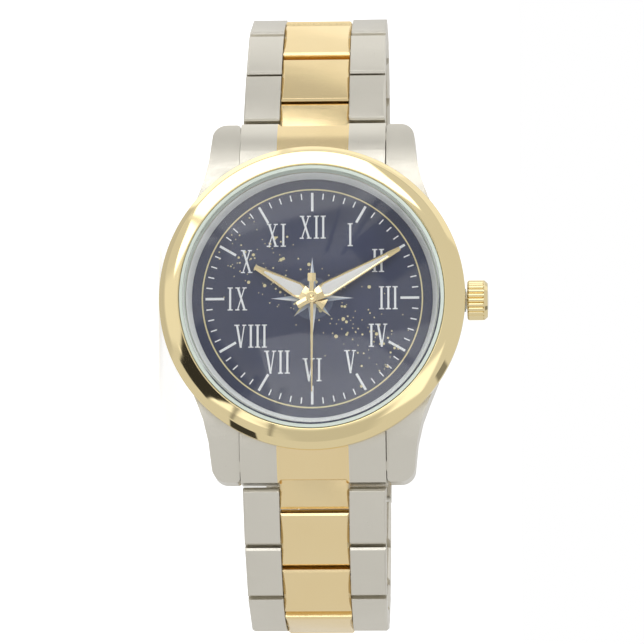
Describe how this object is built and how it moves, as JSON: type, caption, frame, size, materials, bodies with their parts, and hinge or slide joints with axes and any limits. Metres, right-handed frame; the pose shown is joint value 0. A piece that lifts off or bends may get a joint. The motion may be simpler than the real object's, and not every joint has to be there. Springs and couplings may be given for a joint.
{
  "type": "wristwatch",
  "caption": "Round three-hand wristwatch with a two-tone case, fluted crown and printed numeral dial on a closed bracelet of staggered links with a fold-over clasp.",
  "frame": {"origin": "centre of the case back's flat outer face", "axes": "+Z towards 3 o'clock and the crown, -X towards 12 o'clock, -Y out of the dial; the watch lies on its 9 o'clock side with every bracelet hinge upright"},
  "size_m": [0.0869, 0.0525, 0.045],
  "materials": {
    "satin_steel": "satin",
    "polished_steel": "polished",
    "polished_gold": "polished gold plate on steel",
    "hand_gold": "polished, with pale lume inlays",
    "crystal_glass": "clear, polished",
    "gasket_plastic": "matt",
    "white_ring": "satin white",
    "dial_navy": "satin lacquer with printed numerals",
    "movement_brass": "satin",
    "movement_steel": "satin",
    "coil_copper": "lacquered wire",
    "board_green": "satin"
  },
  "bodies": {
    "case": {"case_middle": "satin_steel", "bezel": "polished_gold", "crystal": "crystal_glass", "gaskets": "gasket_plastic", "dial_ring": "white_ring", "dial": "dial_navy", "case_back": "satin_steel", "main_plate": "movement_brass", "train_bridge": "movement_steel", "coil": "coil_copper", "stator": "movement_steel", "battery": "polished_steel", "circuit_board": "board_green", "end_link_12": "satin_steel", "end_link_6": "satin_steel", "spring_bars": "polished_steel"},
    "hour": {"hour_wheel": "movement_brass", "hour_hand": "hand_gold"},
    "minute": {"cannon_pinion": "movement_brass", "minute_hand": "hand_gold"},
    "seconds": {"seconds_wheel": "movement_brass", "second_hand": "hand_gold"},
    "minute_wheel": {"minute_wheel": "movement_brass"},
    "third_wheel": {"third_wheel": "movement_brass"},
    "fifth_wheel": {"fifth_wheel": "movement_brass"},
    "rotor": {"rotor": "movement_steel"},
    "clutch_wheel": {"clutch_wheel": "movement_steel"},
    "crown": {"crown": "polished_gold", "stem": "movement_steel"},
    "clasp_inner_blade": {"clasp_inner_blade": "polished_steel"},
    "clasp_outer_blade": {"clasp_outer_blade": "polished_steel"},
    "clasp_cover": {"clasp_cover": "satin_steel"},
    "centre_link_12_1": {"centre_link_12_1": "polished_gold"},
    "side_links_12_1": {"side_links_12_1": "satin_steel"},
    "centre_link_12_2": {"centre_link_12_2": "polished_gold"},
    "side_links_12_2": {"side_links_12_2": "satin_steel"},
    "centre_link_12_3": {"centre_link_12_3": "polished_gold"},
    "side_links_12_3": {"side_links_12_3": "satin_steel"},
    "centre_link_12_4": {"centre_link_12_4": "polished_gold"},
    "side_links_12_4": {"side_links_12_4": "satin_steel"},
    "centre_link_12_5": {"centre_link_12_5": "polished_gold"},
    "side_links_12_5": {"side_links_12_5": "satin_steel"},
    "centre_link_12_6": {"centre_link_12_6": "polished_gold"},
    "side_links_12_6": {"side_links_12_6": "satin_steel"},
    "centre_link_12_7": {"centre_link_12_7": "polished_gold"},
    "side_links_12_7": {"side_links_12_7": "satin_steel"},
    "centre_link_6_1": {"centre_link_6_1": "polished_gold"},
    "side_links_6_1": {"side_links_6_1": "satin_steel"},
    "centre_link_6_2": {"centre_link_6_2": "polished_gold"},
    "side_links_6_2": {"side_links_6_2": "satin_steel"},
    "centre_link_6_3": {"centre_link_6_3": "polished_gold"},
    "side_links_6_3": {"side_links_6_3": "satin_steel"},
    "centre_link_6_4": {"centre_link_6_4": "polished_gold"},
    "side_links_6_4": {"side_links_6_4": "satin_steel"},
    "centre_link_6_5": {"centre_link_6_5": "polished_gold"},
    "side_links_6_5": {"side_links_6_5": "satin_steel"},
    "centre_link_6_6": {"centre_link_6_6": "polished_gold"},
    "side_links_6_6": {"side_links_6_6": "satin_steel"},
    "centre_link_6_7": {"centre_link_6_7": "polished_gold"},
    "side_links_6_7": {"side_links_6_7": "satin_steel"}
  },
  "joints": [
    {"name": "crown_pull", "type": "slide", "parent": "clutch_wheel", "child": "crown", "axis": [0, 0, 1], "range_m": [0, 0.0012]},
    {"name": "crown_turn", "type": "hinge", "parent": "case", "child": "clutch_wheel", "pos_m": [0, -0.0046, 0], "axis": [0, 0, 1], "continuous": true},
    {"name": "minute_turn", "type": "hinge", "parent": "case", "child": "minute", "pos_m": [0, -0.005, 0], "axis": [0, 1, 0], "continuous": true},
    {"name": "hour_turn", "type": "hinge", "parent": "case", "child": "hour", "pos_m": [0, -0.005, 0], "axis": [0, 1, 0], "continuous": true},
    {"name": "seconds_turn", "type": "hinge", "parent": "case", "child": "seconds", "pos_m": [0, -0.005, 0], "axis": [0, 1, 0], "continuous": true},
    {"name": "clasp_cover_open", "type": "hinge", "parent": "clasp_outer_blade", "child": "clasp_cover", "pos_m": [-0.01883, 0.03688, 0], "axis": [0, 0, 1], "range_deg": [0, 100]},
    {"name": "clasp_blades_open", "type": "hinge", "parent": "clasp_inner_blade", "child": "clasp_outer_blade", "pos_m": [0.01393, 0.03874, 0], "axis": [0, 0, -1], "range_deg": [0, 150]},
    {"name": "clasp_lift", "type": "hinge", "parent": "side_links_12_7", "child": "clasp_inner_blade", "pos_m": [-0.02313, 0.03524, 0], "axis": [0, 0, 1], "range_deg": [0, 8]},
    {"name": "centre_link_12_1_hinge", "type": "hinge", "parent": "case", "child": "centre_link_12_1", "pos_m": [-0.0223, -0.0018, 0], "axis": [0, 0, 1], "range_deg": [0, 19]},
    {"name": "centre_link_6_1_hinge", "type": "hinge", "parent": "case", "child": "centre_link_6_1", "pos_m": [0.0223, -0.0018, 0], "axis": [0, 0, -1], "range_deg": [0, 15]},
    {"name": "side_links_12_1_hinge", "type": "hinge", "parent": "centre_link_12_1", "child": "side_links_12_1", "pos_m": [-0.02663, -0.00056, 0], "axis": [0, 0, 1], "range_deg": [0, 13]},
    {"name": "side_links_6_1_hinge", "type": "hinge", "parent": "centre_link_6_1", "child": "side_links_6_1", "pos_m": [0.0267, -0.00086, 0], "axis": [0, 0, -1], "range_deg": [0, 11]},
    {"name": "centre_link_12_2_hinge", "type": "hinge", "parent": "side_links_12_1", "child": "centre_link_12_2", "pos_m": [-0.03022, 0.00119, 0], "axis": [0, 0, 1], "range_deg": [0, 8]},
    {"name": "centre_link_6_2_hinge", "type": "hinge", "parent": "side_links_6_1", "child": "centre_link_6_2", "pos_m": [0.03046, 0.0005, 0], "axis": [0, 0, -1], "range_deg": [0, 12]},
    {"name": "side_links_12_2_hinge", "type": "hinge", "parent": "centre_link_12_2", "child": "side_links_12_2", "pos_m": [-0.03365, 0.00325, 0], "axis": [0, 0, 1], "range_deg": [0, 8]},
    {"name": "side_links_6_2_hinge", "type": "hinge", "parent": "centre_link_6_2", "child": "side_links_6_2", "pos_m": [0.03396, 0.00244, 0], "axis": [0, 0, -1], "range_deg": [0, 12]},
    {"name": "centre_link_12_3_hinge", "type": "hinge", "parent": "side_links_12_2", "child": "centre_link_12_3", "pos_m": [-0.03689, 0.00561, 0], "axis": [0, 0, 1], "range_deg": [0, 15]},
    {"name": "centre_link_6_3_hinge", "type": "hinge", "parent": "side_links_6_2", "child": "centre_link_6_3", "pos_m": [0.03711, 0.00491, 0], "axis": [0, 0, -1], "range_deg": [0, 13]},
    {"name": "side_links_12_3_hinge", "type": "hinge", "parent": "centre_link_12_3", "child": "side_links_12_3", "pos_m": [-0.03956, 0.00858, 0], "axis": [0, 0, 1], "range_deg": [0, 21]},
    {"name": "side_links_6_3_hinge", "type": "hinge", "parent": "centre_link_6_3", "child": "side_links_6_3", "pos_m": [0.03979, 0.00788, 0], "axis": [0, 0, -1], "range_deg": [0, 19]},
    {"name": "centre_link_12_4_hinge", "type": "hinge", "parent": "side_links_12_3", "child": "centre_link_12_4", "pos_m": [-0.04119, 0.01223, 0], "axis": [0, 0, 1], "range_deg": [0, 21]},
    {"name": "centre_link_6_4_hinge", "type": "hinge", "parent": "side_links_6_3", "child": "centre_link_6_4", "pos_m": [0.04154, 0.01147, 0], "axis": [0, 0, -1], "range_deg": [0, 20]},
    {"name": "side_links_12_4_hinge", "type": "hinge", "parent": "centre_link_12_4", "child": "side_links_12_4", "pos_m": [-0.04161, 0.01621, 0], "axis": [0, 0, 1], "range_deg": [0, 20]},
    {"name": "side_links_6_4_hinge", "type": "hinge", "parent": "centre_link_6_4", "child": "side_links_6_4", "pos_m": [0.04217, 0.01542, 0], "axis": [0, 0, -1], "range_deg": [0, 19]},
    {"name": "centre_link_12_5_hinge", "type": "hinge", "parent": "side_links_12_4", "child": "centre_link_12_5", "pos_m": [-0.04084, 0.02014, 0], "axis": [0, 0, 1], "range_deg": [0, 18]},
    {"name": "centre_link_6_5_hinge", "type": "hinge", "parent": "side_links_6_4", "child": "centre_link_6_5", "pos_m": [0.04168, 0.01939, 0], "axis": [0, 0, -1], "range_deg": [0, 17]},
    {"name": "side_links_12_5_hinge", "type": "hinge", "parent": "centre_link_12_5", "child": "side_links_12_5", "pos_m": [-0.03909, 0.02373, 0], "axis": [0, 0, 1], "range_deg": [0, 15]},
    {"name": "side_links_6_5_hinge", "type": "hinge", "parent": "centre_link_6_5", "child": "side_links_6_5", "pos_m": [0.04025, 0.02313, 0], "axis": [0, 0, -1], "range_deg": [0, 15]},
    {"name": "centre_link_12_6_hinge", "type": "hinge", "parent": "side_links_12_5", "child": "centre_link_12_6", "pos_m": [-0.03663, 0.02688, 0], "axis": [0, 0, 1], "range_deg": [0, 13]},
    {"name": "centre_link_6_6_hinge", "type": "hinge", "parent": "side_links_6_5", "child": "centre_link_6_6", "pos_m": [0.03807, 0.02648, 0], "axis": [0, 0, -1], "range_deg": [0, 13]},
    {"name": "side_links_12_6_hinge", "type": "hinge", "parent": "centre_link_12_6", "child": "side_links_12_6", "pos_m": [-0.03366, 0.02956, 0], "axis": [0, 0, 1], "range_deg": [0, 11]},
    {"name": "side_links_6_6_hinge", "type": "hinge", "parent": "centre_link_6_6", "child": "side_links_6_6", "pos_m": [0.03534, 0.02941, 0], "axis": [0, 0, -1], "range_deg": [0, 11]},
    {"name": "centre_link_12_7_hinge", "type": "hinge", "parent": "side_links_12_6", "child": "centre_link_12_7", "pos_m": [-0.03034, 0.0318, 0], "axis": [0, 0, 1], "range_deg": [0, 9]},
    {"name": "centre_link_6_7_hinge", "type": "hinge", "parent": "side_links_6_6", "child": "centre_link_6_7", "pos_m": [0.03223, 0.03193, 0], "axis": [0, 0, -1], "range_deg": [0, 10]},
    {"name": "side_links_12_7_hinge", "type": "hinge", "parent": "centre_link_12_7", "child": "side_links_12_7", "pos_m": [-0.02681, 0.03367, 0], "axis": [0, 0, 1], "range_deg": [0, 8]},
    {"name": "side_links_6_7_hinge", "type": "hinge", "parent": "centre_link_6_7", "child": "side_links_6_7", "pos_m": [0.02884, 0.03405, 0], "axis": [0, 0, -1], "range_deg": [0, 9]},
    {"name": "minute_wheel_turn", "type": "hinge", "parent": "case", "child": "minute_wheel", "pos_m": [0, -0.006, 0.003], "axis": [0, 1, 0], "continuous": true},
    {"name": "third_wheel_turn", "type": "hinge", "parent": "case", "child": "third_wheel", "pos_m": [-0.00234, -0.004, -0.00197], "axis": [0, 1, 0], "continuous": true},
    {"name": "fifth_wheel_turn", "type": "hinge", "parent": "case", "child": "fifth_wheel", "pos_m": [0, -0.004, 0.00192], "axis": [0, 1, 0], "continuous": true},
    {"name": "rotor_turn", "type": "hinge", "parent": "case", "child": "rotor", "pos_m": [0.00084, -0.004, 0.00337], "axis": [0, 1, 0], "continuous": true}
  ],
  "couplings": [
    {"joint": "hour_turn", "follows": "minute_turn", "ratio": 0.083333},
    {"joint": "seconds_turn", "follows": "minute_turn", "ratio": 60},
    {"joint": "minute_wheel_turn", "follows": "minute_turn", "ratio": -0.33333},
    {"joint": "third_wheel_turn", "follows": "minute_turn", "ratio": -8},
    {"joint": "fifth_wheel_turn", "follows": "minute_turn", "ratio": -300},
    {"joint": "rotor_turn", "follows": "minute_turn", "ratio": 1800}
  ]
}
